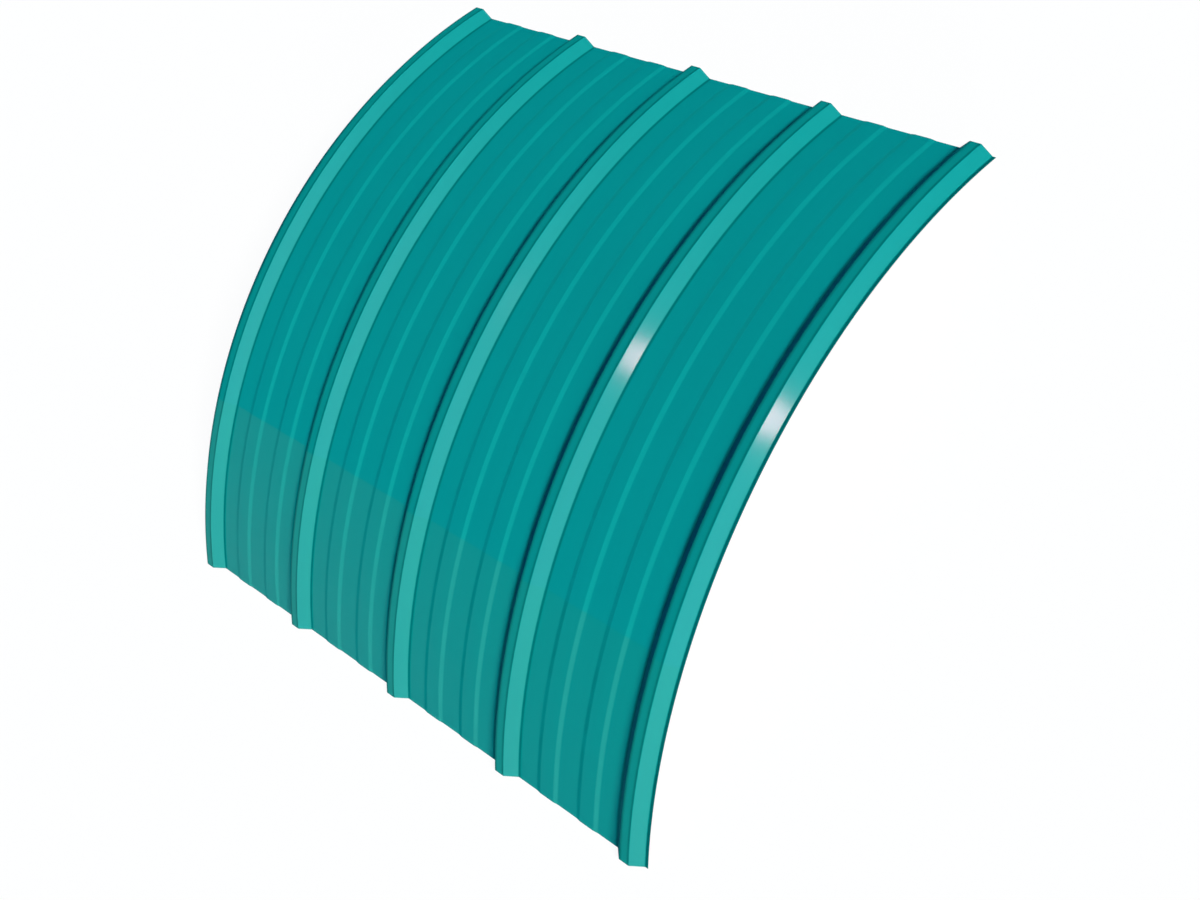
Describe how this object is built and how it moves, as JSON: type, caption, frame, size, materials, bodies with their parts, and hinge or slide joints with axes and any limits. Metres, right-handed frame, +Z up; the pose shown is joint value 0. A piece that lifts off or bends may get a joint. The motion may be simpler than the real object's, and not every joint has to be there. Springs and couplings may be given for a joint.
{
  "type": "profiled steel sheet",
  "caption": "Low arch of ribbed coated steel sheet for curved roofs: trapezoidal ribs run along the arch, with flat pans and low stiffening ribs between them.",
  "frame": {"origin": "on the floor under the middle of the sheet, which stands on its two cut ends", "axes": "+X across the ribs, +Y along the chord of the arch, in line with the ribs, +Z up"},
  "size_m": [0.955, 0.9594, 0.1699],
  "materials": {
    "coated_steel": "satin polyester coating in blue-green"
  },
  "bodies": {
    "root": {"sheet": "coated_steel"}
  },
  "joints": []
}
